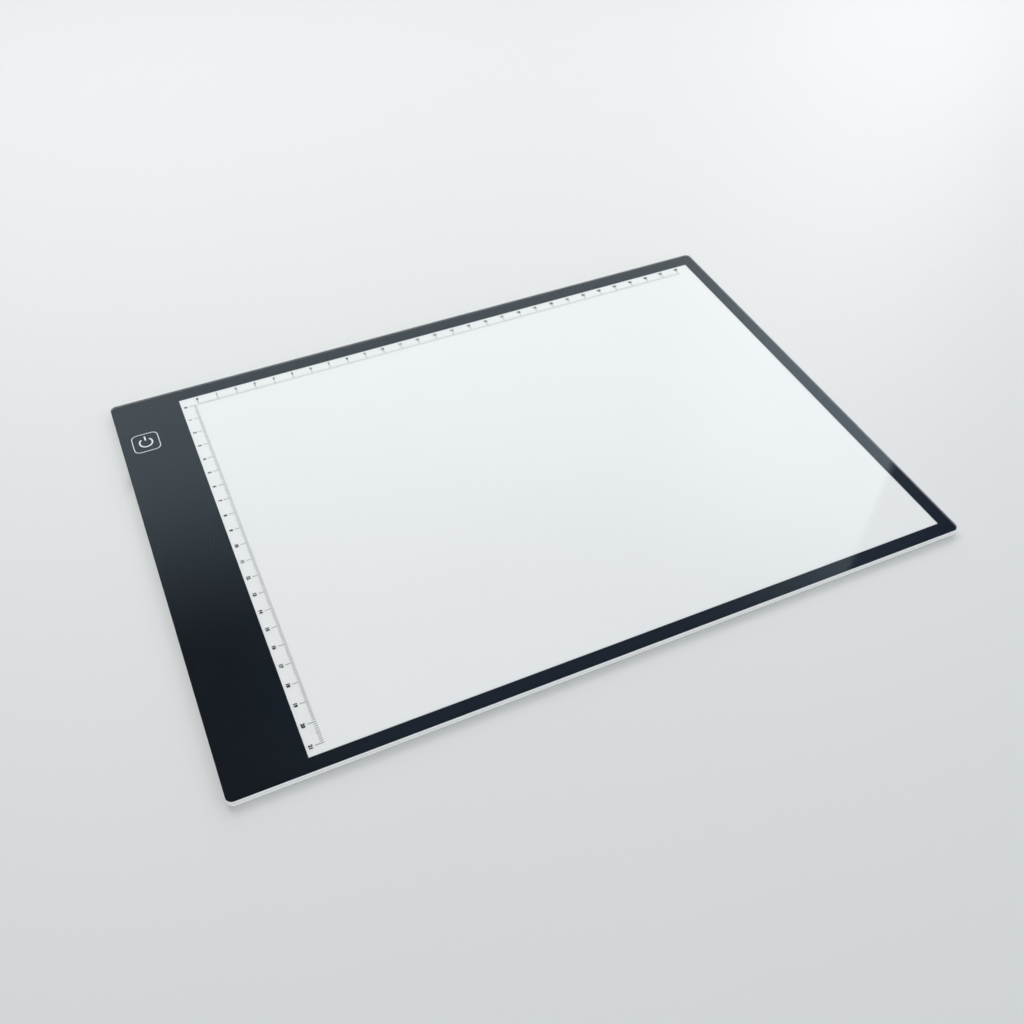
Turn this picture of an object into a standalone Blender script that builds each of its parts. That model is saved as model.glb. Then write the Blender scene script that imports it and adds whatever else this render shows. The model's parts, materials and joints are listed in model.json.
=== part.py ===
"""LED light box for tracing, A4 size: a thin edge-lit pad.

A clear front panel with a black printed border lies on a stack of sheets (diffuser, light guide plate,
reflector) inside a shallow white back cover. A strip of side-firing LEDs lights the left edge of the
light guide plate. A small control board, a touch electrode and a micro-USB inlet sit under the wide
left band. Four rubber feet carry the pad.

Units are metres. +X runs along the long side, away from the control band, +Y runs to the far long side
and +Z is up. The origin is the middle of the footprint, on the surface the feet stand on.
"""
from math import cos, pi, radians, sin

import bmesh
import bpy

MM = 0.001

# Pad outline: the back cover's, and the front panel set back from it on a narrow ledge
PAD_LENGTH = 337.0 * MM
PAD_WIDTH = 235.6 * MM
CORNER_RADIUS = 3.2 * MM
CORNER_STEPS = 10
LEDGE = 0.3 * MM
PANEL_LENGTH = PAD_LENGTH - 2 * LEDGE
PANEL_WIDTH = PAD_WIDTH - 2 * LEDGE
PANEL_CORNER = CORNER_RADIUS - LEDGE

# Window and the printed border around it
WINDOW_LENGTH = 296.8 * MM
WINDOW_WIDTH = 220.5 * MM
RIGHT_BORDER = 6.4 * MM
FAR_BORDER = 7.8 * MM
PRINT_INSET = 0.1 * MM

# Heights above the standing surface, from the feet upwards
COVER_BOTTOM = 0.40 * MM
FLOOR_TOP = 1.00 * MM
WALL_TOP = 2.47 * MM
PANEL_BOTTOM = 2.70 * MM
PANEL_TOP = 4.00 * MM
PRINT_Z = (2.62 * MM, 2.67 * MM)
TAPE_Z = (2.50 * MM, 2.59 * MM)
REFLECTOR_Z = (1.04 * MM, 1.14 * MM)
GUIDE_Z = (1.18 * MM, 2.28 * MM)
DIFFUSER_Z = (2.32 * MM, 2.50 * MM)
SHIELD_Z = (2.32 * MM, 2.40 * MM)
STRIP_Z = (1.05 * MM, 1.20 * MM)
BOARD_Z = (1.05 * MM, 1.65 * MM)
ELECTRODE_Z = (2.50 * MM, 2.58 * MM)

# Back cover
WALL_THICKNESS = 1.6 * MM
COVER_EDGE_ROUND = 0.9 * MM
PANEL_EDGE_ROUND = 0.12 * MM
EDGE_STEPS = 5

# Rubber feet, glued into shallow round pockets
FOOT_RADIUS = 5.0 * MM
FOOT_HEIGHT = 0.55 * MM
FOOT_EDGE = 0.2 * MM
FOOT_POCKET_RADIUS = 5.3 * MM
FOOT_POCKET_TOP = 0.62 * MM
FOOT_INSET = 14.0 * MM
FOOT_STEPS = 40

# Sheets under the window
SHEET_CLEARANCE = 0.8 * MM
GUIDE_LEFT = -138.2 * MM
SHIELD_LEFT = -142.0 * MM
SHIELD_RIGHT = -136.7 * MM
SHEET_CORNER = 0.6 * MM

# LED strip
LED_COUNT = 28
LED_PITCH = 7.8 * MM
LED_DEPTH = 1.4 * MM
LED_WIDTH = 3.8 * MM
LED_HEIGHT = 0.8 * MM
LED_FACE_X = -138.6 * MM
LED_RIM = 0.16 * MM
LED_RECESS = 0.2 * MM
LED_TAPER = 0.08 * MM
STRIP_X = (-141.8 * MM, -138.5 * MM)
STRIP_LENGTH = 222.0 * MM
MOUNT_GAP = 0.05 * MM

# Control board, with a notch that the inlet drops into
BOARD_X = (-166.0 * MM, -143.2 * MM)
BOARD_Y = (50.0 * MM, 96.0 * MM)
INLET_Y = 64.0 * MM
NOTCH_WIDTH = 8.2 * MM
NOTCH_END_X = -162.7 * MM

# Micro-USB inlet on the left short side
SHELL_X = (-168.3 * MM, -163.1 * MM)
SHELL_Z = (0.25 * MM, 2.58 * MM)
SHELL_WIDTH = 7.4 * MM
SHELL_SHOULDER = 1.1 * MM
SHELL_CHAMFER = 0.8 * MM
SHELL_SHEET = 0.24 * MM
TONGUE_WIDTH = 4.6 * MM
TONGUE_FRONT_X = -167.4 * MM
TONGUE_BLOCK_X = (-164.1 * MM, -163.4 * MM)
TONGUE_Z = (1.35 * MM, 1.90 * MM)
TONGUE_BLOCK_Z = (0.60 * MM, 2.24 * MM)

# Touch key, on the left band
KEY_X = -156.4 * MM
KEY_Y = 86.1 * MM
ELECTRODE_SIZE = 12.0 * MM

# Adhesive tape between the back cover's rim and the panel
TAPE_WIDTH = 1.0 * MM
TAPE_INSET = 0.5 * MM
TAPE_END_GAP = 4.0 * MM
TAPE_INLET_GAP = 10.0 * MM

LEAD_RADIUS = 0.25 * MM

WINDOW_RIGHT = PANEL_LENGTH / 2 - RIGHT_BORDER
WINDOW_LEFT = WINDOW_RIGHT - WINDOW_LENGTH
WINDOW_FAR = PANEL_WIDTH / 2 - FAR_BORDER
WINDOW_NEAR = WINDOW_FAR - WINDOW_WIDTH


def clear_scene():
    """Start from an empty scene."""
    for item in list(bpy.data.objects):
        bpy.data.objects.remove(item, do_unlink=True)


def make_material(name, colour, roughness, metallic=0.0, transmission=0.0):
    """A Principled material of one colour."""
    material = bpy.data.materials.new(name)
    material.use_nodes = True
    shader = material.node_tree.nodes["Principled BSDF"]
    shader.inputs["Base Color"].default_value = (*colour, 1.0)
    shader.inputs["Roughness"].default_value = roughness
    shader.inputs["Metallic"].default_value = metallic
    shader.inputs["Transmission Weight"].default_value = transmission
    shader.inputs["IOR"].default_value = 1.49
    return material


def make_materials():
    """One material for each kind of surface."""
    return {
        "clear_acrylic": make_material("clear_acrylic", (0.96, 0.98, 0.98), 0.04, transmission=1.0),
        "light_guide": make_material("light_guide", (0.93, 0.96, 0.97), 0.1, transmission=0.8),
        "white_cover": make_material("white_cover", (0.86, 0.87, 0.87), 0.4),
        "black_ink": make_material("black_ink", (0.012, 0.014, 0.022), 0.3),
        "diffuser_white": make_material("diffuser_white", (0.88, 0.90, 0.90), 0.5),
        "reflector_white": make_material("reflector_white", (0.92, 0.92, 0.92), 0.3),
        "shield_tape": make_material("shield_tape", (0.03, 0.03, 0.03), 0.5),
        "clear_tape": make_material("clear_tape", (0.78, 0.77, 0.72), 0.6),
        "green_board": make_material("green_board", (0.02, 0.16, 0.07), 0.35),
        "white_board": make_material("white_board", (0.80, 0.80, 0.78), 0.4),
        "led_body": make_material("led_body", (0.85, 0.78, 0.40), 0.35),
        "copper_foil": make_material("copper_foil", (0.72, 0.36, 0.20), 0.3, metallic=1.0),
        "socket_steel": make_material("socket_steel", (0.62, 0.62, 0.63), 0.25, metallic=1.0),
        "black_plastic": make_material("black_plastic", (0.02, 0.02, 0.02), 0.4),
        "chip_resin": make_material("chip_resin", (0.025, 0.025, 0.028), 0.5),
        "capacitor_tan": make_material("capacitor_tan", (0.45, 0.28, 0.14), 0.5),
        "red_wire": make_material("red_wire", (0.55, 0.02, 0.02), 0.4),
        "black_wire": make_material("black_wire", (0.02, 0.02, 0.02), 0.4),
        "white_wire": make_material("white_wire", (0.80, 0.80, 0.80), 0.4),
        "foot_rubber": make_material("foot_rubber", (0.10, 0.10, 0.11), 0.7),
    }


def add_mesh_object(name, mesh_builder, material, parent, location=(0.0, 0.0, 0.0)):
    """Turn a bmesh into a named object under the pad's empty."""
    bmesh.ops.recalc_face_normals(mesh_builder, faces=mesh_builder.faces)
    mesh = bpy.data.meshes.new(name)
    mesh_builder.to_mesh(mesh)
    mesh_builder.free()
    mesh.materials.append(material)
    mesh.shade_smooth()
    mesh.set_sharp_from_angle(angle=radians(32.0))
    return link_object(name, mesh, parent, location)


def link_object(name, data, parent, location=(0.0, 0.0, 0.0)):
    """Put an object of this data in the scene."""
    item = bpy.data.objects.new(name, data)
    item.location = location
    item.parent = parent
    bpy.context.scene.collection.objects.link(item)
    return item


def rounded_rectangle(length, width, radius, steps):
    """Corner points of a rectangle with round corners, centred on the origin, counter-clockwise."""
    points = []
    for quarter in range(4):
        side_x = 1 if quarter in (0, 3) else -1
        side_y = 1 if quarter in (0, 1) else -1
        centre_x = side_x * (length / 2 - radius)
        centre_y = side_y * (width / 2 - radius)
        for step in range(steps + 1):
            angle = (quarter + step / steps) * pi / 2
            points.append((centre_x + radius * cos(angle), centre_y + radius * sin(angle)))
    return points


def stack_rings(rings):
    """A closed solid through rings of matching points, capped at both ends."""
    builder = bmesh.new()
    loops = [[builder.verts.new(point) for point in ring] for ring in rings]
    count = len(loops[0])
    for lower, upper in zip(loops, loops[1:]):
        for index in range(count):
            after = (index + 1) % count
            builder.faces.new((lower[index], lower[after], upper[after], upper[index]))
    builder.faces.new(list(reversed(loops[0])))
    builder.faces.new(loops[-1])
    return builder


def rounded_slab(length, width, radius, bottom, top, bottom_round=0.0, top_round=0.0, steps=EDGE_STEPS):
    """A flat slab with round corners and, where asked, rounded lower and upper edges."""
    levels = []
    for step in range(steps + 1 if bottom_round else 1):
        angle = step / steps * pi / 2
        levels.append((bottom + bottom_round * (1 - cos(angle)), bottom_round * (1 - sin(angle))))
    for step in range(steps + 1 if top_round else 1):
        angle = step / steps * pi / 2
        levels.append((top - top_round * (1 - sin(angle)), top_round * (1 - cos(angle))))
    rings = []
    for height, inset in levels:
        outline = rounded_rectangle(length - 2 * inset, width - 2 * inset, radius - inset, CORNER_STEPS)
        rings.append([(x, y, height) for x, y in outline])
    return stack_rings(rings)


def extruded_outline(outline, bottom, top):
    """An outline in plan, extruded upwards."""
    return stack_rings([[(x, y, height) for x, y in outline] for height in (bottom, top)])


def block(x_range, y_range, z_range):
    """A rectangular block between two values on each axis."""
    left, right = x_range
    near, far = y_range
    return extruded_outline([(left, near), (right, near), (right, far), (left, far)], *z_range)


def centred_block(size_x, size_y, height):
    """A rectangular block that stands on its own origin."""
    return block((-size_x / 2, size_x / 2), (-size_y / 2, size_y / 2), (0.0, height))


def sheet(x_range, width, z_range):
    """A thin rectangular sheet, cut with slightly rounded corners, over this range of X."""
    centre = sum(x_range) / 2
    outline = rounded_rectangle(x_range[1] - x_range[0], width, SHEET_CORNER, 3)
    return extruded_outline([(x + centre, y) for x, y in outline], *z_range)


def add_cutter(target, name, builder, parent, location=(0.0, 0.0, 0.0)):
    """Cut one solid out of the target."""
    bmesh.ops.recalc_face_normals(builder, faces=builder.faces)
    mesh = bpy.data.meshes.new(name)
    builder.to_mesh(mesh)
    builder.free()
    cutter = link_object(name, mesh, parent, location)
    cutter.hide_render = True
    cutter.display_type = "WIRE"
    cut = target.modifiers.new(name, "BOOLEAN")
    cut.operation = "DIFFERENCE"
    cut.solver = "EXACT"
    cut.object = cutter


def foot_places():
    """Where the four feet stand, in plan."""
    reach_x = PAD_LENGTH / 2 - FOOT_INSET
    reach_y = PAD_WIDTH / 2 - FOOT_INSET
    return [(side_x * reach_x, side_y * reach_y) for side_y in (-1, 1) for side_x in (-1, 1)]


def disc(radius, bottom, top, edge=0.0):
    """A round disc, with its lower rim chamfered."""
    angles = [2 * pi * step / FOOT_STEPS for step in range(FOOT_STEPS)]
    levels = [(bottom, radius), (top, radius)]
    if edge:
        levels = [(bottom, radius - edge), (bottom + edge, radius), (top, radius)]
    return stack_rings([[(r * cos(a), r * sin(a), height) for a in angles] for height, r in levels])


def make_rear_cover(materials, pad):
    """Shallow white tray: a floor with a rounded rim edge, walls, foot pockets and the inlet's notch."""
    builder = rounded_slab(
        PAD_LENGTH, PAD_WIDTH, CORNER_RADIUS, COVER_BOTTOM, WALL_TOP, bottom_round=COVER_EDGE_ROUND)
    cover = add_mesh_object("rear_cover", builder, materials["white_cover"], pad)
    inside = rounded_slab(
        PAD_LENGTH - 2 * WALL_THICKNESS, PAD_WIDTH - 2 * WALL_THICKNESS, CORNER_RADIUS - WALL_THICKNESS,
        FLOOR_TOP, WALL_TOP + 1.0 * MM)
    add_cutter(cover, "cover_inside", inside, pad)
    notch = block(
        (-PAD_LENGTH / 2 - 1.0 * MM, NOTCH_END_X), (INLET_Y - NOTCH_WIDTH / 2, INLET_Y + NOTCH_WIDTH / 2),
        (COVER_BOTTOM - 1.0 * MM, WALL_TOP + 1.0 * MM))
    add_cutter(cover, "cover_inlet_notch", notch, pad)
    for index, (x, y) in enumerate(foot_places(), start=1):
        pocket = disc(FOOT_POCKET_RADIUS, COVER_BOTTOM - 1.0 * MM, FOOT_POCKET_TOP)
        add_cutter(cover, f"cover_foot_pocket_{index}", pocket, pad, (x, y, 0.0))


def make_feet(materials, pad):
    """Four low round rubber feet."""
    for index, (x, y) in enumerate(foot_places(), start=1):
        foot = disc(FOOT_RADIUS, 0.0, FOOT_HEIGHT, FOOT_EDGE)
        add_mesh_object(f"rubber_foot_{index}", foot, materials["foot_rubber"], pad, (x, y, 0.0))


def make_front_panel(materials, pad):
    """Clear acrylic panel over the whole pad, its edges barely eased."""
    panel = rounded_slab(
        PANEL_LENGTH, PANEL_WIDTH, PANEL_CORNER, PANEL_BOTTOM, PANEL_TOP,
        bottom_round=PANEL_EDGE_ROUND, top_round=PANEL_EDGE_ROUND, steps=3)
    add_mesh_object("front_panel", panel, materials["clear_acrylic"], pad)


def make_printed_border(materials, pad):
    """Black ink layer behind the panel, with the sharp-cornered window left open."""
    length = PANEL_LENGTH - 2 * PRINT_INSET
    width = PANEL_WIDTH - 2 * PRINT_INSET
    outline = rounded_rectangle(length, width, PANEL_CORNER - PRINT_INSET, CORNER_STEPS)
    border = add_mesh_object(
        "printed_border", extruded_outline(outline, *PRINT_Z), materials["black_ink"], pad)
    window = block(
        (WINDOW_LEFT, WINDOW_RIGHT), (WINDOW_NEAR, WINDOW_FAR),
        (PRINT_Z[0] - 1.0 * MM, PRINT_Z[1] + 1.0 * MM))
    add_cutter(border, "border_window", window, pad)


def make_sheets(materials, pad):
    """Reflector, light guide plate and diffuser, from the floor upwards, and the shield over the LEDs."""
    right = PAD_LENGTH / 2 - WALL_THICKNESS - SHEET_CLEARANCE
    width = PAD_WIDTH - 2 * WALL_THICKNESS - 2 * SHEET_CLEARANCE
    reflector = sheet((GUIDE_LEFT, right), width, REFLECTOR_Z)
    add_mesh_object("reflector_film", reflector, materials["reflector_white"], pad)
    guide = sheet((GUIDE_LEFT, right), width, GUIDE_Z)
    add_mesh_object("light_guide_plate", guide, materials["light_guide"], pad)
    diffuser = sheet((SHIELD_RIGHT + 0.3 * MM, right), width, DIFFUSER_Z)
    add_mesh_object("diffuser_sheet", diffuser, materials["diffuser_white"], pad)
    shield = sheet((SHIELD_LEFT, SHIELD_RIGHT), width, SHIELD_Z)
    add_mesh_object("led_light_shield", shield, materials["shield_tape"], pad)


def led_package():
    """Side-firing LED: a block whose +X face has a flat rim and a shallow, slightly tapered window."""
    builder = centred_block(LED_DEPTH, LED_WIDTH, LED_HEIGHT)
    bmesh.ops.recalc_face_normals(builder, faces=builder.faces)
    front = max(builder.faces, key=lambda face: face.calc_center_median().x)
    bmesh.ops.inset_region(builder, faces=[front], thickness=LED_RIM)
    bmesh.ops.inset_region(builder, faces=[front], thickness=LED_TAPER, depth=-LED_RECESS)
    return builder


def make_led_strip(materials, pad):
    """Narrow board along the guide's left edge with a row of LEDs facing the guide."""
    half = STRIP_LENGTH / 2
    add_mesh_object("led_strip_board", block(STRIP_X, (-half, half), STRIP_Z), materials["white_board"], pad)
    first_y = -LED_PITCH * (LED_COUNT - 1) / 2
    place_x = LED_FACE_X - LED_DEPTH / 2
    for index in range(LED_COUNT):
        place = (place_x, first_y + index * LED_PITCH, STRIP_Z[1] + MOUNT_GAP)
        add_mesh_object(f"led_{index + 1:02d}", led_package(), materials["led_body"], pad, place)


def make_control_board(materials, pad):
    """Small board under the left band; the inlet sits in the notch on its left edge."""
    left, right = BOARD_X
    near, far = BOARD_Y
    notch_near = INLET_Y - NOTCH_WIDTH / 2
    notch_far = INLET_Y + NOTCH_WIDTH / 2
    outline = [
        (left, near), (right, near), (right, far), (left, far),
        (left, notch_far), (NOTCH_END_X, notch_far), (NOTCH_END_X, notch_near), (left, notch_near)]
    add_mesh_object("control_board", extruded_outline(outline, *BOARD_Z), materials["green_board"], pad)


def make_board_parts(materials, pad):
    """The parts soldered on the control board: name, place in plan, size and material."""
    parts = (
        ("touch_controller_chip", (-153.0, 73.0), (1.6, 2.9, 0.85), "chip_resin"),
        ("led_driver_transistor", (-148.5, 62.5), (1.3, 2.9, 0.80), "chip_resin"),
        ("current_resistor_1", (-148.5, 57.5), (0.8, 1.6, 0.45), "chip_resin"),
        ("current_resistor_2", (-151.0, 57.5), (0.8, 1.6, 0.45), "chip_resin"),
        ("smoothing_capacitor", (-157.5, 64.0), (1.25, 2.0, 0.80), "capacitor_tan"),
    )
    height = BOARD_Z[1] + MOUNT_GAP
    for name, (x, y), (size_x, size_y, size_z), material in parts:
        body = centred_block(size_x * MM, size_y * MM, size_z * MM)
        add_mesh_object(name, body, materials[material], pad, (x * MM, y * MM, height))


def make_touch_electrode(materials, pad):
    """Square copper foil behind the printed key."""
    outline = rounded_rectangle(ELECTRODE_SIZE, ELECTRODE_SIZE, 2.4 * MM, 6)
    foil = extruded_outline([(x + KEY_X, y + KEY_Y) for x, y in outline], *ELECTRODE_Z)
    add_mesh_object("touch_electrode", foil, materials["copper_foil"], pad)


def shell_outline(inset):
    """The inlet's mouth in the YZ plane: flat top, upright shoulders and sloping lower corners."""
    half = SHELL_WIDTH / 2 - inset
    low, high = SHELL_Z[0] + inset, SHELL_Z[1] - inset
    shoulder = high - SHELL_SHOULDER
    foot = half - SHELL_CHAMFER
    return [(-foot, low), (foot, low), (half, shoulder), (half, high), (-half, high), (-half, shoulder)]


def make_inlet(materials, pad):
    """Micro-USB inlet: a folded steel shell open at both ends, and the plastic tongue inside it."""
    builder = bmesh.new()
    loops = []
    for inset in (0.0, SHELL_SHEET):
        for x in SHELL_X:
            loops.append([builder.verts.new((x, INLET_Y + y, z)) for y, z in shell_outline(inset)])
    outer_front, outer_back, inner_front, inner_back = loops
    count = len(outer_front)
    for first, second in (
            (outer_front, outer_back), (outer_back, inner_back), (inner_back, inner_front),
            (inner_front, outer_front)):
        for index in range(count):
            after = (index + 1) % count
            builder.faces.new((first[index], first[after], second[after], second[index]))
    add_mesh_object("usb_socket_shell", builder, materials["socket_steel"], pad)

    block_front, block_back = TONGUE_BLOCK_X
    profile = [
        (TONGUE_FRONT_X, TONGUE_Z[0]), (block_front, TONGUE_Z[0]), (block_front, TONGUE_BLOCK_Z[0]),
        (block_back, TONGUE_BLOCK_Z[0]), (block_back, TONGUE_BLOCK_Z[1]), (block_front, TONGUE_BLOCK_Z[1]),
        (block_front, TONGUE_Z[1]), (TONGUE_FRONT_X, TONGUE_Z[1])]
    sides = (INLET_Y - TONGUE_WIDTH / 2, INLET_Y + TONGUE_WIDTH / 2)
    tongue = stack_rings([[(x, y, z) for x, z in profile] for y in sides])
    add_mesh_object("usb_socket_tongue", tongue, materials["black_plastic"], pad)


def make_tape(materials, pad):
    """Strips of adhesive tape on the cover's rim; the left side is in two pieces, past the inlet."""
    reach_x = PAD_LENGTH / 2 - TAPE_INSET
    reach_y = PAD_WIDTH / 2 - TAPE_INSET
    long_x = (-reach_x + TAPE_END_GAP, reach_x - TAPE_END_GAP)
    long_y = (-reach_y + TAPE_END_GAP, reach_y - TAPE_END_GAP)
    strips = (
        ("rim_tape_near", long_x, (-reach_y, -reach_y + TAPE_WIDTH)),
        ("rim_tape_far", long_x, (reach_y - TAPE_WIDTH, reach_y)),
        ("rim_tape_right", (reach_x - TAPE_WIDTH, reach_x), long_y),
        ("rim_tape_left_near", (-reach_x, -reach_x + TAPE_WIDTH), (long_y[0], INLET_Y - TAPE_INLET_GAP / 2)),
        ("rim_tape_left_far", (-reach_x, -reach_x + TAPE_WIDTH), (INLET_Y + TAPE_INLET_GAP / 2, long_y[1])),
    )
    for name, x_range, y_range in strips:
        add_mesh_object(name, block(x_range, y_range, TAPE_Z), materials["clear_tape"], pad)


def add_lead(name, points, material, parent):
    """A short insulated wire through these points, in millimetres."""
    curve = bpy.data.curves.new(name, "CURVE")
    curve.dimensions = "3D"
    curve.bevel_depth = LEAD_RADIUS
    curve.bevel_resolution = 2
    curve.use_fill_caps = True
    spline = curve.splines.new("POLY")
    spline.points.add(len(points) - 1)
    for target, (x, y, z) in zip(spline.points, points):
        target.co = (x * MM, y * MM, z * MM, 1.0)
    curve.materials.append(material)
    link_object(name, curve, parent)


def s_route(start, end, level, steps=12):
    """Points from start to end: level over the first share of the way, then easing down to the end."""
    points = []
    for step in range(steps + 1):
        part = step / steps
        drop = max(0.0, (part - level) / (1 - level))
        ease = drop * drop * (3 - 2 * drop)
        x = start[0] + (end[0] - start[0]) * part
        y = start[1] + (end[1] - start[1]) * part
        points.append((x, y, start[2] + (end[2] - start[2]) * ease))
    return points


def make_leads(materials, pad):
    """Two wires from the board to the LED strip, and one from the electrode to the board."""
    on_board = (BOARD_Z[1] + MOUNT_GAP + LEAD_RADIUS) / MM
    on_strip = (STRIP_Z[1] + MOUNT_GAP + LEAD_RADIUS) / MM
    under_foil = (ELECTRODE_Z[0] - MOUNT_GAP - LEAD_RADIUS) / MM
    positive = s_route((-145.6, 60.0, on_board), (-140.9, 60.0, on_strip), level=0.58)
    negative = s_route((-145.6, 55.0, on_board), (-140.9, 55.0, on_strip), level=0.58)
    touch = s_route((-156.4, 82.5, under_foil), (-153.4, 76.0, on_board), level=0.3)
    add_lead("led_lead_positive", positive, materials["red_wire"], pad)
    add_lead("led_lead_negative", negative, materials["black_wire"], pad)
    add_lead("touch_lead", touch, materials["white_wire"], pad)


def make_light_box():
    """Build every piece of the pad."""
    clear_scene()
    materials = make_materials()
    pad = link_object("light_box", None, None)
    make_rear_cover(materials, pad)
    make_feet(materials, pad)
    make_front_panel(materials, pad)
    make_printed_border(materials, pad)
    make_sheets(materials, pad)
    make_led_strip(materials, pad)
    make_control_board(materials, pad)
    make_board_parts(materials, pad)
    make_touch_electrode(materials, pad)
    make_inlet(materials, pad)
    make_tape(materials, pad)
    make_leads(materials, pad)


make_light_box()
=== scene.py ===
"""Looks for the A4 LED tracing pad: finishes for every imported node, the printed rulers and touch key,
the panel's cut edge, a pale floor, soft light and the camera. Units are metres, +Z up."""
import json
from math import cos, pi, radians, sin

import bmesh
import bpy
from mathutils import Matrix, Vector


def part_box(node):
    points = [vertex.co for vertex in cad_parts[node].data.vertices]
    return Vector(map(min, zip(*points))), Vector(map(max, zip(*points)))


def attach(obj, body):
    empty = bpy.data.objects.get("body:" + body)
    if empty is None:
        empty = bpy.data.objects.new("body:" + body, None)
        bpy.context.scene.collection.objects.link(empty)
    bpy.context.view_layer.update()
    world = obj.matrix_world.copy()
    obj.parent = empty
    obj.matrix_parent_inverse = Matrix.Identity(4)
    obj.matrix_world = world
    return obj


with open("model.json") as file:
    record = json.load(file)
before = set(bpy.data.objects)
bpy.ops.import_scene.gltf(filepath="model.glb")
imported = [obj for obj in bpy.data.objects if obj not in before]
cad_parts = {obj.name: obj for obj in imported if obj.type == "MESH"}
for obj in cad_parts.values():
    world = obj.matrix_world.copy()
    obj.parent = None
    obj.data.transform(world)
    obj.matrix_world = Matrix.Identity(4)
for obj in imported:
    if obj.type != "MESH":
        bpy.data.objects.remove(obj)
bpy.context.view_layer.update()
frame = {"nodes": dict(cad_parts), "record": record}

MM = 0.001

panel_low, panel_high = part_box("front_panel")
print_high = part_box("printed_border")[1]

# The window in the printed border, measured from the panel's edges
RIGHT_BORDER = 6.4 * MM
WINDOW_LENGTH = 296.8 * MM
WINDOW_LEFT = panel_high.x - RIGHT_BORDER - WINDOW_LENGTH
WINDOW_FAR = 109.7 * MM

# Printed rulers: both start from one zero point inside the window's far left corner
RULER_ZERO = Vector((WINDOW_LEFT + 8.8 * MM, WINDOW_FAR - 6.3 * MM))
TOP_RULER_CM = 28
LEFT_RULER_CM = 21
TICK_WIDTHS = {"millimetre": 0.14 * MM, "half": 0.15 * MM, "centimetre": 0.17 * MM}
TICK_LENGTHS = {"millimetre": 1.5 * MM, "half": 1.75 * MM, "centimetre": 3.7 * MM}
TOP_TICK_START = -0.6 * MM
LEFT_TICK_START = 1.25 * MM
NUMBER_HEIGHT = 1.5 * MM
NUMBER_BOLDNESS = 0.07
DIGIT_SHARE_OF_SIZE = 0.72
TOP_NUMBER_OFFSET = Vector((0.1 * MM, 4.2 * MM))
LEFT_NUMBER_OFFSET = Vector((-6.7 * MM, 0.0))
INK_THICKNESS = 0.012 * MM

# Printed touch key
KEY_CENTRE = Vector((-156.4 * MM, 86.1 * MM))
KEY_SIZE = 12.6 * MM
KEY_CORNER = 2.7 * MM
KEY_STROKE = 0.42 * MM
SIGN_RADIUS = 3.05 * MM
SIGN_STROKE = 0.80 * MM
SIGN_GAP = radians(38.0)
SIGN_BAR = (1.5 * MM, 4.6 * MM)
KEY_PRINT_GAP = 0.008 * MM

# Frosted cut edge round the clear panel
PANEL_CORNER = 2.9 * MM
CUT_EDGE_GAP = 0.01 * MM
CUT_EDGE_DEPTH = 0.10 * MM
CUT_EDGE_EASE = 0.12 * MM

# Clear panel: the cool tint of its reflections, and how much of its lower face is bonded to the print
PANEL_SHEEN = (0.65, 0.865, 1.0)
ACRYLIC_IOR = 1.49
BOND_DEPTH = 0.02 * MM


# ---------------------------------------------------------------- node helpers

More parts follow.
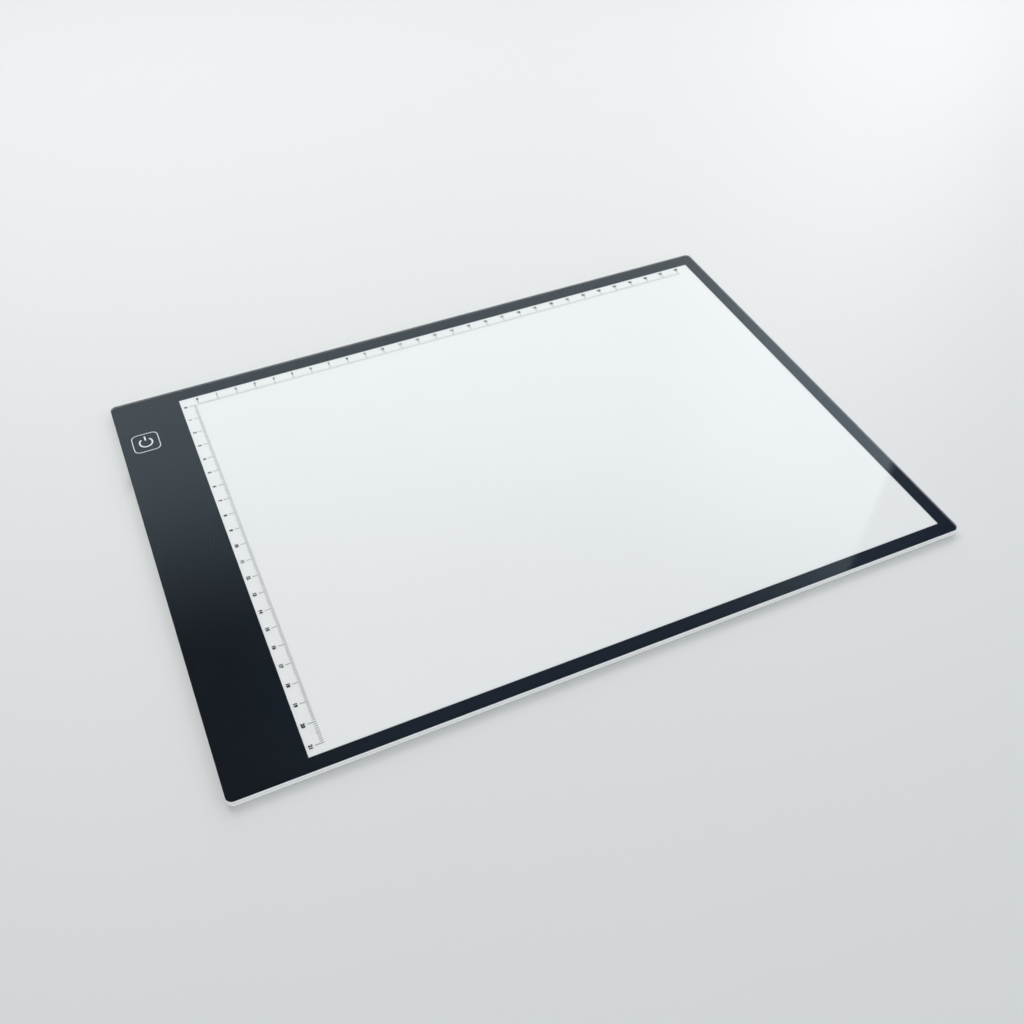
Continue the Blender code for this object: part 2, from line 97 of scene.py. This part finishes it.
class Nodes:
    """Small helper around one node tree."""

    def __init__(self, owner, output):
        owner.use_nodes = True
        self.tree = owner.node_tree
        self.tree.nodes.clear()
        self.output = self.add(output)

    def add(self, kind, **values):
        """A node with attributes set by name."""
        node = self.tree.nodes.new(kind)
        for key, value in values.items():
            setattr(node, key, value)
        return node

    def set(self, socket, value):
        """Link an output to an input, or set the input's own value."""
        if isinstance(value, bpy.types.NodeSocket):
            self.tree.links.new(value, socket)
        elif isinstance(value, tuple) and socket.type == "RGBA":
            socket.default_value = (*value, 1.0)
        else:
            socket.default_value = value

    def place(self, stretch=None):
        """Object coordinates in metres, stretched where asked."""
        place = self.add("ShaderNodeTexCoord").outputs["Object"]
        if stretch is None:
            return place
        mapping = self.add("ShaderNodeMapping")
        mapping.inputs["Scale"].default_value = stretch
        self.set(mapping.inputs["Vector"], place)
        return mapping.outputs["Vector"]

    def noise(self, scale, detail=2.0, roughness=0.5, stretch=None):
        """Noise around one half; scale is in cycles per metre."""
        node = self.add("ShaderNodeTexNoise")
        node.inputs["Scale"].default_value = scale
        node.inputs["Detail"].default_value = detail
        node.inputs["Roughness"].default_value = roughness
        self.set(node.inputs["Vector"], self.place(stretch))
        return node.outputs["Fac"]

    def cells(self, scale, stretch=None):
        """Distance to the nearest of many scattered points, in cells."""
        node = self.add("ShaderNodeTexVoronoi")
        node.inputs["Scale"].default_value = scale
        self.set(node.inputs["Vector"], self.place(stretch))
        return node.outputs["Distance"]

    def math(self, operation, first, second=0.0):
        """One arithmetic step."""
        node = self.add("ShaderNodeMath", operation=operation)
        self.set(node.inputs[0], first)
        self.set(node.inputs[1], second)
        return node.outputs[0]

    def spread(self, source, low, high, out_low, out_high, smooth=False):
        """Map one range to another, clamped."""
        node = self.add("ShaderNodeMapRange", clamp=True)
        if smooth:
            node.interpolation_type = "SMOOTHSTEP"
        for name, value in (("From Min", low), ("From Max", high), ("To Min", out_low), ("To Max", out_high)):
            node.inputs[name].default_value = value
        self.set(node.inputs["Value"], source)
        return node.outputs["Result"]

    def blend(self, factor, first, second):
        """Mix two colours by a factor."""
        node = self.add("ShaderNodeMix", data_type="RGBA")
        sockets = [socket for socket in node.inputs if socket.type == "RGBA"]
        self.set(node.inputs["Factor"], factor)
        self.set(sockets[0], first)
        self.set(sockets[1], second)
        return next(socket for socket in node.outputs if socket.type == "RGBA")

    def bump(self, height, strength, distance):
        """A bump normal from a height."""
        node = self.add("ShaderNodeBump")
        node.inputs["Strength"].default_value = strength
        node.inputs["Distance"].default_value = distance
        self.set(node.inputs["Height"], height)
        return node.outputs["Normal"]

    def principled(self, colour, roughness, normal=None, **plain):
        """A Principled shader; extra sockets are named with underscores for spaces."""
        shader = self.add("ShaderNodeBsdfPrincipled")
        self.set(shader.inputs["Base Color"], colour)
        self.set(shader.inputs["Roughness"], roughness)
        if normal is not None:
            self.set(shader.inputs["Normal"], normal)
        for name, value in plain.items():
            self.set(shader.inputs[name.replace("_", " ")], value)
        return shader.outputs["BSDF"]

    def finish(self, shader):
        """Send a shader to the output."""
        self.set(self.output.inputs["Surface"], shader)


def new_material(name):
    """A material and the helper around its nodes."""
    material = bpy.data.materials.new(name)
    return material, Nodes(material, "ShaderNodeOutputMaterial")


# ---------------------------------------------------------------- materials

def moulded(name, light, dark, roughness, grain=5000.0, relief=0.02, **plain):
    """Moulded or coated surface: faint tone drift, roughness drift and a fine grain."""
    material, nodes = new_material(name)
    tone = nodes.blend(nodes.spread(nodes.noise(28.0, 3.0), 0.3, 0.7, 0.0, 1.0), light, dark)
    rough = nodes.spread(nodes.noise(160.0, 4.0), 0.3, 0.7, roughness * 0.85, roughness * 1.15)
    normal = nodes.bump(nodes.noise(grain, 2.0), 0.25, relief * MM)
    nodes.finish(nodes.principled(tone, rough, normal, **plain))
    return material


def clear_panel():
    """Clear polished acrylic that bends sight. Lamp light, and light scattered by what lies below, pass
    straight through it, and so does everything at its lower face, where the print is bonded on."""
    material, nodes = new_material("clear_panel")
    rough = nodes.spread(nodes.noise(34.0, 5.0, 0.62), 0.42, 0.72, 0.006, 0.022)
    tone = nodes.blend(nodes.noise(12.0, 2.0), (0.985, 0.995, 0.992), (0.978, 0.992, 0.990))
    glass = nodes.principled(
        tone, rough, nodes.bump(nodes.noise(18.0, 2.0), 0.05, 0.02 * MM),
        Transmission_Weight=1.0, IOR=ACRYLIC_IOR, Specular_Tint=PANEL_SHEEN)
    clear = nodes.add("ShaderNodeBsdfTransparent").outputs["BSDF"]
    path = nodes.add("ShaderNodeLightPath")
    split = nodes.add("ShaderNodeSeparateXYZ")
    nodes.set(split.inputs[0], nodes.place())
    bonded = nodes.math("LESS_THAN", split.outputs["Z"], panel_low.z + BOND_DEPTH)
    through = nodes.math("MAXIMUM", path.outputs["Is Shadow Ray"], path.outputs["Is Diffuse Ray"])
    mix = nodes.add("ShaderNodeMixShader")
    nodes.set(mix.inputs[0], nodes.math("MAXIMUM", through, bonded))
    nodes.set(mix.inputs[1], glass)
    nodes.set(mix.inputs[2], clear)
    nodes.finish(mix.outputs["Shader"])
    return material


def cut_edge():
    """Frosted edge of the sawn panel, with faint upright cutter marks."""
    material, nodes = new_material("cut_edge")
    marks = nodes.noise(1500.0, 3.0, 0.6, (1.0, 1.0, 0.05))
    tone = nodes.blend(nodes.spread(marks, 0.35, 0.65, 0.0, 1.0), (0.87, 0.88, 0.875), (0.82, 0.835, 0.835))
    rough = nodes.spread(nodes.noise(400.0, 3.0), 0.3, 0.7, 0.3, 0.5)
    nodes.finish(nodes.principled(tone, rough, nodes.bump(marks, 0.3, 0.03 * MM)))
    return material


def border_ink():
    """Blue-black print behind the panel, with the faint orange peel of a screen print."""
    material, nodes = new_material("border_ink")
    drift = nodes.spread(nodes.noise(22.0, 3.0), 0.3, 0.7, 0.0, 1.0)
    tone = nodes.blend(drift, (0.0040, 0.0060, 0.0100), (0.0052, 0.0068, 0.0095))
    rough = nodes.spread(nodes.noise(300.0, 3.0), 0.3, 0.7, 0.5, 0.65)
    normal = nodes.bump(nodes.noise(1800.0, 3.0), 0.2, 0.01 * MM)
    nodes.finish(nodes.principled(tone, rough, normal, Specular_IOR_Level=0.0))
    return material


def diffuser_milk():
    """Milky diffuser sheet: very even white, a trace cooler in soft patches."""
    material, nodes = new_material("diffuser_milk")
    drift = nodes.spread(nodes.noise(9.0, 2.0), 0.3, 0.7, 0.0, 1.0)
    tone = nodes.blend(drift, (0.880, 0.888, 0.860), (0.870, 0.879, 0.853))
    rough = nodes.spread(nodes.noise(600.0, 3.0), 0.3, 0.7, 0.5, 0.6)
    normal = nodes.bump(nodes.noise(7000.0, 2.0), 0.15, 0.01 * MM)
    nodes.finish(nodes.principled(tone, rough, normal, Specular_IOR_Level=0.0))
    return material


def print_ink(name, light, dark):
    """Flat printing ink with a slightly uneven density."""
    material, nodes = new_material(name)
    density = nodes.spread(nodes.noise(2500.0, 3.0), 0.35, 0.65, 0.0, 1.0)
    rough = nodes.spread(density, 0.0, 1.0, 0.55, 0.65)
    normal = nodes.bump(density, 0.2, 0.005 * MM)
    nodes.finish(nodes.principled(nodes.blend(density, light, dark), rough, normal, Specular_IOR_Level=0.0))
    return material


def brushed_metal(name, light, dark, roughness):
    """Folded or rolled sheet metal with fine drawn lines."""
    material, nodes = new_material(name)
    lines = nodes.noise(9000.0, 3.0, 0.6, (0.04, 1.0, 1.0))
    tone = nodes.blend(nodes.spread(lines, 0.3, 0.7, 0.0, 1.0), light, dark)
    rough = nodes.spread(lines, 0.3, 0.7, roughness * 0.8, roughness * 1.3)
    nodes.finish(nodes.principled(tone, rough, nodes.bump(lines, 0.2, 0.01 * MM), Metallic=1.0))
    return material


def circuit_board(name, resist, trace):
    """Board lacquer with slightly lighter copper traces under it."""
    material, nodes = new_material(name)
    traces = nodes.spread(nodes.cells(420.0, (1.0, 0.25, 1.0)), 0.30, 0.34, 1.0, 0.0)
    normal = nodes.bump(traces, 0.4, 0.03 * MM)
    nodes.finish(nodes.principled(nodes.blend(traces, resist, trace), 0.3, normal))
    return material


def make_finishes():
    """One finish for each of the record's material slots."""
    return {
        "clear_acrylic": clear_panel(),
        "light_guide": moulded("guide_plate", (0.86, 0.90, 0.90), (0.83, 0.88, 0.88), 0.12),
        "white_cover": moulded("cover_white", (0.86, 0.865, 0.86), (0.84, 0.846, 0.84), 0.38),
        "black_ink": border_ink(),
        "diffuser_white": diffuser_milk(),
        "reflector_white": moulded("reflector_film", (0.90, 0.90, 0.90), (0.88, 0.88, 0.88), 0.25),
        "shield_tape": moulded("shield_tape", (0.022, 0.022, 0.024), (0.03, 0.03, 0.03), 0.5),
        "clear_tape": moulded("rim_tape", (0.70, 0.70, 0.67), (0.64, 0.64, 0.60), 0.55),
        "green_board": circuit_board("green_board", (0.012, 0.10, 0.045), (0.03, 0.19, 0.08)),
        "white_board": circuit_board("white_board", (0.80, 0.80, 0.78), (0.72, 0.71, 0.66)),
        "led_body": moulded("led_body", (0.86, 0.80, 0.42), (0.80, 0.72, 0.33), 0.35),
        "copper_foil": brushed_metal("copper_foil", (0.78, 0.42, 0.24), (0.66, 0.33, 0.18), 0.3),
        "socket_steel": brushed_metal("socket_steel", (0.66, 0.66, 0.67), (0.52, 0.52, 0.54), 0.26),
        "black_plastic": moulded("socket_plastic", (0.018, 0.018, 0.019), (0.026, 0.026, 0.027), 0.4),
        "chip_resin": moulded("chip_resin", (0.022, 0.022, 0.024), (0.032, 0.032, 0.033), 0.55),
        "capacitor_tan": moulded("capacitor_tan", (0.46, 0.29, 0.15), (0.40, 0.24, 0.12), 0.5),
        "red_wire": moulded("red_wire", (0.50, 0.02, 0.02), (0.42, 0.015, 0.015), 0.4),
        "black_wire": moulded("black_wire", (0.02, 0.02, 0.02), (0.03, 0.03, 0.03), 0.4),
        "white_wire": moulded("white_wire", (0.75, 0.75, 0.74), (0.68, 0.68, 0.67), 0.4),
        "foot_rubber": moulded("foot_rubber", (0.045, 0.045, 0.048), (0.07, 0.07, 0.072), 0.75, 2500.0, 0.05),
    }


def finish_packed_nodes(finishes):
    """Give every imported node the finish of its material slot."""
    slots = {part["node"]: part["material_slot"] for part in frame["record"]["subparts"]}
    for name, node in frame["nodes"].items():
        node.data.materials.clear()
        node.data.materials.append(finishes[slots[name]])


# ---------------------------------------------------------------- printed and cut details

def add_piece(name, builder, material):
    """A new mesh piece, parented to the pad's root empty, with the material it is given."""
    bmesh.ops.recalc_face_normals(builder, faces=builder.faces)
    mesh = bpy.data.meshes.new(name)
    builder.to_mesh(mesh)
    builder.free()
    mesh.materials.append(material)
    piece = bpy.data.objects.new(name, mesh)
    bpy.context.scene.collection.objects.link(piece)
    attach(piece, "root")
    return piece


def prism(builder, outline, bottom, top):
    """Add the closed solid over an outline in plan."""
    lower = [builder.verts.new((x, y, bottom)) for x, y in outline]
    upper = [builder.verts.new((x, y, top)) for x, y in outline]
    builder.faces.new(list(reversed(lower)))
    builder.faces.new(upper)
    count = len(outline)
    for index in range(count):
        after = (index + 1) % count
        builder.faces.new((lower[index], lower[after], upper[after], upper[index]))


def band(builder, inner, outer, bottom, top, closed):
    """Add the solid between two matching outlines: a ring if closed, otherwise a strip with ends."""
    rows = []
    for (x, y), (far_x, far_y) in zip(inner, outer):
        rows.append([builder.verts.new(point) for point in (
            (x, y, bottom), (far_x, far_y, bottom), (far_x, far_y, top), (x, y, top))])
    count = len(rows)
    for index in range(count if closed else count - 1):
        first, second = rows[index], rows[(index + 1) % count]
        for side in range(4):
            after = (side + 1) % 4
            builder.faces.new((first[side], first[after], second[after], second[side]))
    if not closed:
        builder.faces.new(rows[0])
        builder.faces.new(list(reversed(rows[-1])))


def rounded_rectangle(centre, length, width, radius, steps=14):
    """Outline of a rectangle with round corners, counter-clockwise."""
    points = []
    for quarter in range(4):
        side_x = 1 if quarter in (0, 3) else -1
        side_y = 1 if quarter in (0, 1) else -1
        for step in range(steps + 1):
            angle = (quarter + step / steps) * pi / 2
            points.append((
                centre.x + side_x * (length / 2 - radius) + radius * cos(angle),
                centre.y + side_y * (width / 2 - radius) + radius * sin(angle)))
    return points


def tick_kind(millimetre):
    """Which of the three tick lengths a millimetre mark has."""
    if millimetre % 10 == 0:
        return "centimetre"
    return "half" if millimetre % 5 == 0 else "millimetre"


def make_rulers(grey, black):
    """Millimetre ticks along the top and the left of the window, with centimetre numbers."""
    top = print_high.z
    bottom = top - INK_THICKNESS
    ticks = bmesh.new()
    for millimetre in range(TOP_RULER_CM * 10 + 1):
        half = TICK_WIDTHS[tick_kind(millimetre)] / 2
        x = RULER_ZERO.x + millimetre * MM
        start = RULER_ZERO.y + TOP_TICK_START
        end = start + TICK_LENGTHS[tick_kind(millimetre)]
        prism(ticks, [(x - half, start), (x + half, start), (x + half, end), (x - half, end)], bottom, top)
    for millimetre in range(LEFT_RULER_CM * 10 + 1):
        half = TICK_WIDTHS[tick_kind(millimetre)] / 2
        y = RULER_ZERO.y - millimetre * MM
        start = RULER_ZERO.x - LEFT_TICK_START
        end = start - TICK_LENGTHS[tick_kind(millimetre)]
        prism(ticks, [(end, y - half), (start, y - half), (start, y + half), (end, y + half)], bottom, top)
    add_piece("ruler_ticks", ticks, grey)

    numbers = bmesh.new()
    for centimetre in range(TOP_RULER_CM + 1):
        centre = RULER_ZERO + TOP_NUMBER_OFFSET + Vector((centimetre * 10 * MM, 0.0))
        add_number(numbers, centimetre, centre, 0.0, top)
    for centimetre in range(LEFT_RULER_CM + 1):
        centre = RULER_ZERO + LEFT_NUMBER_OFFSET - Vector((0.0, centimetre * 10 * MM))
        add_number(numbers, centimetre, centre, -pi / 2, top)
    add_piece("ruler_numbers", numbers, black)


def add_number(builder, value, centre, turn, top):
    """Add one printed number, centred here and turned about Z."""
    text = bpy.data.curves.new("number", "FONT")
    text.body = str(value)
    text.align_x = "CENTER"
    text.align_y = "CENTER"
    text.size = NUMBER_HEIGHT / DIGIT_SHARE_OF_SIZE
    text.offset = NUMBER_HEIGHT * NUMBER_BOLDNESS
    text.extrude = INK_THICKNESS / 2
    text.resolution_u = 3
    holder = bpy.data.objects.new("number", text)
    mesh = bpy.data.meshes.new_from_object(holder)
    lows = Vector([min(vertex.co[axis] for vertex in mesh.vertices) for axis in range(3)])
    highs = Vector([max(vertex.co[axis] for vertex in mesh.vertices) for axis in range(3)])
    middle = (lows + highs) / 2
    mesh.transform(
        Matrix.Translation((centre.x, centre.y, top - INK_THICKNESS / 2))
        @ Matrix.Rotation(turn, 4, "Z")
        @ Matrix.Translation(-middle))
    builder.from_mesh(mesh)
    bpy.data.objects.remove(holder)
    bpy.data.curves.remove(text)
    bpy.data.meshes.remove(mesh)


def arc_band(builder, centre, radius, stroke, start, end, bottom, top, steps=48):
    """Add a flat arc with this stroke between two angles."""
    inner, outer = [], []
    for step in range(steps + 1):
        angle = start + (end - start) * step / steps
        for points, reach in ((inner, radius - stroke / 2), (outer, radius + stroke / 2)):
            points.append((centre.x + reach * cos(angle), centre.y + reach * sin(angle)))
    band(builder, inner, outer, bottom, top, closed=False)


def make_key(white):
    """Printed touch key: a thin rounded square round a power sign, an open ring and a bar."""
    bottom = print_high.z + KEY_PRINT_GAP
    top = bottom + INK_THICKNESS
    key = bmesh.new()
    inner = rounded_rectangle(
        KEY_CENTRE, KEY_SIZE - KEY_STROKE, KEY_SIZE - KEY_STROKE, KEY_CORNER - KEY_STROKE / 2)
    outer = rounded_rectangle(
        KEY_CENTRE, KEY_SIZE + KEY_STROKE, KEY_SIZE + KEY_STROKE, KEY_CORNER + KEY_STROKE / 2)
    band(key, inner, outer, bottom, top, closed=True)
    add_piece("key_outline", key, white)

    sign = bmesh.new()
    arc_band(
        sign, KEY_CENTRE, SIGN_RADIUS, SIGN_STROKE, pi / 2 + SIGN_GAP, 5 * pi / 2 - SIGN_GAP, bottom, top)
    half = SIGN_STROKE / 2
    low, high = (KEY_CENTRE.y + offset for offset in SIGN_BAR)
    prism(
        sign, [(KEY_CENTRE.x - half, low), (KEY_CENTRE.x + half, low),
               (KEY_CENTRE.x + half, high), (KEY_CENTRE.x - half, high)], bottom, top)
    add_piece("key_power_sign", sign, white)


def make_cut_edge(material):
    """The frosted cut edge all round the clear panel."""
    centre = (panel_low + panel_high) / 2
    size = panel_high - panel_low
    builder = bmesh.new()
    outlines = []
    for grow in (CUT_EDGE_GAP, CUT_EDGE_GAP + CUT_EDGE_DEPTH):
        outlines.append(rounded_rectangle(
            centre, size.x + 2 * grow, size.y + 2 * grow, PANEL_CORNER + grow))
    band(
        builder, *outlines, panel_low.z + CUT_EDGE_EASE / 2, panel_high.z - CUT_EDGE_EASE, closed=True)
    piece = add_piece("panel_cut_edge", builder, material)
    piece.data.shade_smooth()
    piece.data.set_sharp_from_angle(angle=radians(30.0))


# ---------------------------------------------------------------- floor, light and camera

# The floor lies a hair below the feet, so that the two never share a plane
FLOOR_SIZE = 8.0
FLOOR_DROP = 0.02 * MM


def make_floor():
    """A plain pale surface that the feet stand on; from below it is clear."""
    bpy.ops.mesh.primitive_plane_add(size=FLOOR_SIZE, location=(0.0, 0.0, -FLOOR_DROP))
    floor = bpy.context.active_object
    floor.name = "floor"
    material, nodes = new_material("floor_pale")
    tone = nodes.blend(nodes.noise(3.0, 2.0), (0.805, 0.812, 0.785), (0.785, 0.792, 0.766))
    mix = nodes.add("ShaderNodeMixShader")
    nodes.set(mix.inputs[0], nodes.add("ShaderNodeNewGeometry").outputs["Backfacing"])
    nodes.set(mix.inputs[1], nodes.principled(tone, 0.35))
    nodes.set(mix.inputs[2], nodes.add("ShaderNodeBsdfTransparent").outputs["BSDF"])
    nodes.finish(mix.outputs["Shader"])
    floor.data.materials.append(material)


# The room's light by direction: headings are clockwise from +Y, heights are above the horizon
WALL_LIGHT = (1.33, 1.36, 1.38)
FAR_WALL_START = (radians(-26.0), radians(-12.0))
REAR_WALL_START = (radians(85.0), radians(100.0))
SIDE_SHARE = 0.12
REAR_SHARE = 0.80
CEILING_LIGHT = (0.19, 0.19, 0.20)
WINDOW_CEILING = (0.34, 0.37, 0.47)
CORNER_LIGHT = (0.22, 0.27, 0.42)
WALL_TOP = (radians(41.5), radians(53.0))
CORNER_START = (radians(52.3), radians(52.8))
CORNER_FADE = (radians(52.5), radians(57.5))
CORNER_END = (radians(80.0), radians(105.0))
WINDOW_RISE = (radians(34.0), radians(45.0))
WINDOW_GAIN = 1.65
CEILING_RISE = (radians(0.0), radians(14.0))
BACKDROP = (0.78, 0.79, 0.79)


def make_world():
    """Soft light from all round, made of the direction alone; seen directly it is a plain pale backdrop."""
    world = bpy.data.worlds.new("studio")
    bpy.context.scene.world = world
    nodes = Nodes(world, "ShaderNodeOutputWorld")
    split = nodes.add("ShaderNodeSeparateXYZ")
    nodes.set(split.inputs[0], nodes.add("ShaderNodeTexCoord").outputs["Generated"])
    east, north, up = split.outputs
    height = nodes.math("ARCSINE", up)
    heading = nodes.math("ARCTAN2", east, north)
    before_corner = nodes.math(
        "ADD", nodes.spread(heading, *CORNER_START, 0.8, 0.0), nodes.spread(heading, *CORNER_FADE, 0.2, 0.0))
    after_corner = nodes.spread(heading, *CORNER_END, 0.0, 1.0, smooth=True)
    far_wall = nodes.math("MINIMUM", before_corner, nodes.spread(heading, *FAR_WALL_START, SIDE_SHARE, 1.0))
    rear_wall = nodes.spread(nodes.math("ABSOLUTE", heading), *REAR_WALL_START, 0.0, REAR_SHARE, smooth=True)
    wall = nodes.math(
        "MULTIPLY", nodes.spread(height, *WALL_TOP, 1.0, 0.0, smooth=True),
        nodes.math("MAXIMUM", far_wall, rear_wall))
    window = nodes.math("MULTIPLY", nodes.spread(heading, *WINDOW_RISE, 0.0, 1.0, smooth=True), before_corner)
    gain = nodes.spread(window, 0.0, 1.0, 1.0, WINDOW_GAIN)
    lit = nodes.math("MAXIMUM", before_corner, after_corner)
    ceiling = nodes.blend(nodes.spread(heading, *CEILING_RISE, 0.0, 1.0), CEILING_LIGHT, WINDOW_CEILING)
    background = nodes.add("ShaderNodeBackground")
    nodes.set(
        background.inputs["Color"],
        nodes.blend(wall, nodes.blend(lit, CORNER_LIGHT, ceiling), WALL_LIGHT))
    nodes.set(background.inputs["Strength"], nodes.math(
        "ADD", 1.0, nodes.math("MULTIPLY", wall, nodes.math("SUBTRACT", gain, 1.0))))
    backdrop = nodes.add("ShaderNodeBackground")
    nodes.set(backdrop.inputs["Color"], BACKDROP)
    mix = nodes.add("ShaderNodeMixShader")
    nodes.set(mix.inputs[0], nodes.add("ShaderNodeLightPath").outputs["Is Camera Ray"])
    nodes.set(mix.inputs[1], background.outputs["Background"])
    nodes.set(mix.inputs[2], backdrop.outputs["Background"])
    nodes.finish(mix.outputs["Shader"])


# Square area lights: name, place and power
LAMPS = (
    ("far_softbox", (-0.2, 0.5, 0.8), 2.80),
    ("right_softbox", (0.6, 0.2, 0.5), 1.00),
)
LAMP_TARGET = Vector((0.0, 0.1, 0.0))
LAMP_SIZE = 0.6
LAMP_COLOUR = (1.0, 1.0, 0.985)


def make_lamp(name, place, power):
    """A square area light that faces the pad and stays out of reflections."""
    data = bpy.data.lights.new(name, "AREA")
    data.size = LAMP_SIZE
    data.energy = power
    data.color = LAMP_COLOUR
    lamp = bpy.data.objects.new(name, data)
    lamp.location = place
    lamp.rotation_euler = (LAMP_TARGET - Vector(place)).to_track_quat("-Z", "Y").to_euler()
    lamp.visible_glossy = False
    bpy.context.scene.collection.objects.link(lamp)


# The camera: millimetres for the lens and sensor, shares of the frame's width for the shift
CAMERA_PLACE = (-0.15353, -0.31759, 0.35600)
CAMERA_TURN = (radians(41.719), radians(0.137), radians(-23.473))
LENS = 36.69
SENSOR_WIDTH = 36.0
SHIFT = (0.0319, 0.0133)
NEAREST_SEEN = 0.01


def make_camera():
    """The camera, high over the pad's near left corner."""
    data = bpy.data.cameras.new("camera")
    data.sensor_width = SENSOR_WIDTH
    data.lens = LENS
    data.shift_x, data.shift_y = SHIFT
    data.clip_start = NEAREST_SEEN
    camera = bpy.data.objects.new("camera", data)
    camera.location = CAMERA_PLACE
    camera.rotation_euler = CAMERA_TURN
    bpy.context.scene.collection.objects.link(camera)
    bpy.context.scene.camera = camera


make_camera()
finish_packed_nodes(make_finishes())
make_rulers(print_ink("tick_grey", (0.03, 0.033, 0.036), (0.06, 0.063, 0.066)),
            print_ink("number_black", (0.012, 0.012, 0.016), (0.02, 0.02, 0.024)))
make_key(print_ink("key_white", (0.80, 0.82, 0.84), (0.74, 0.76, 0.78)))
make_cut_edge(cut_edge())
make_floor()
make_world()
for lamp_name, lamp_place, lamp_power in LAMPS:
    make_lamp(lamp_name, lamp_place, lamp_power)
bpy.context.scene.view_settings.view_transform = "Standard"
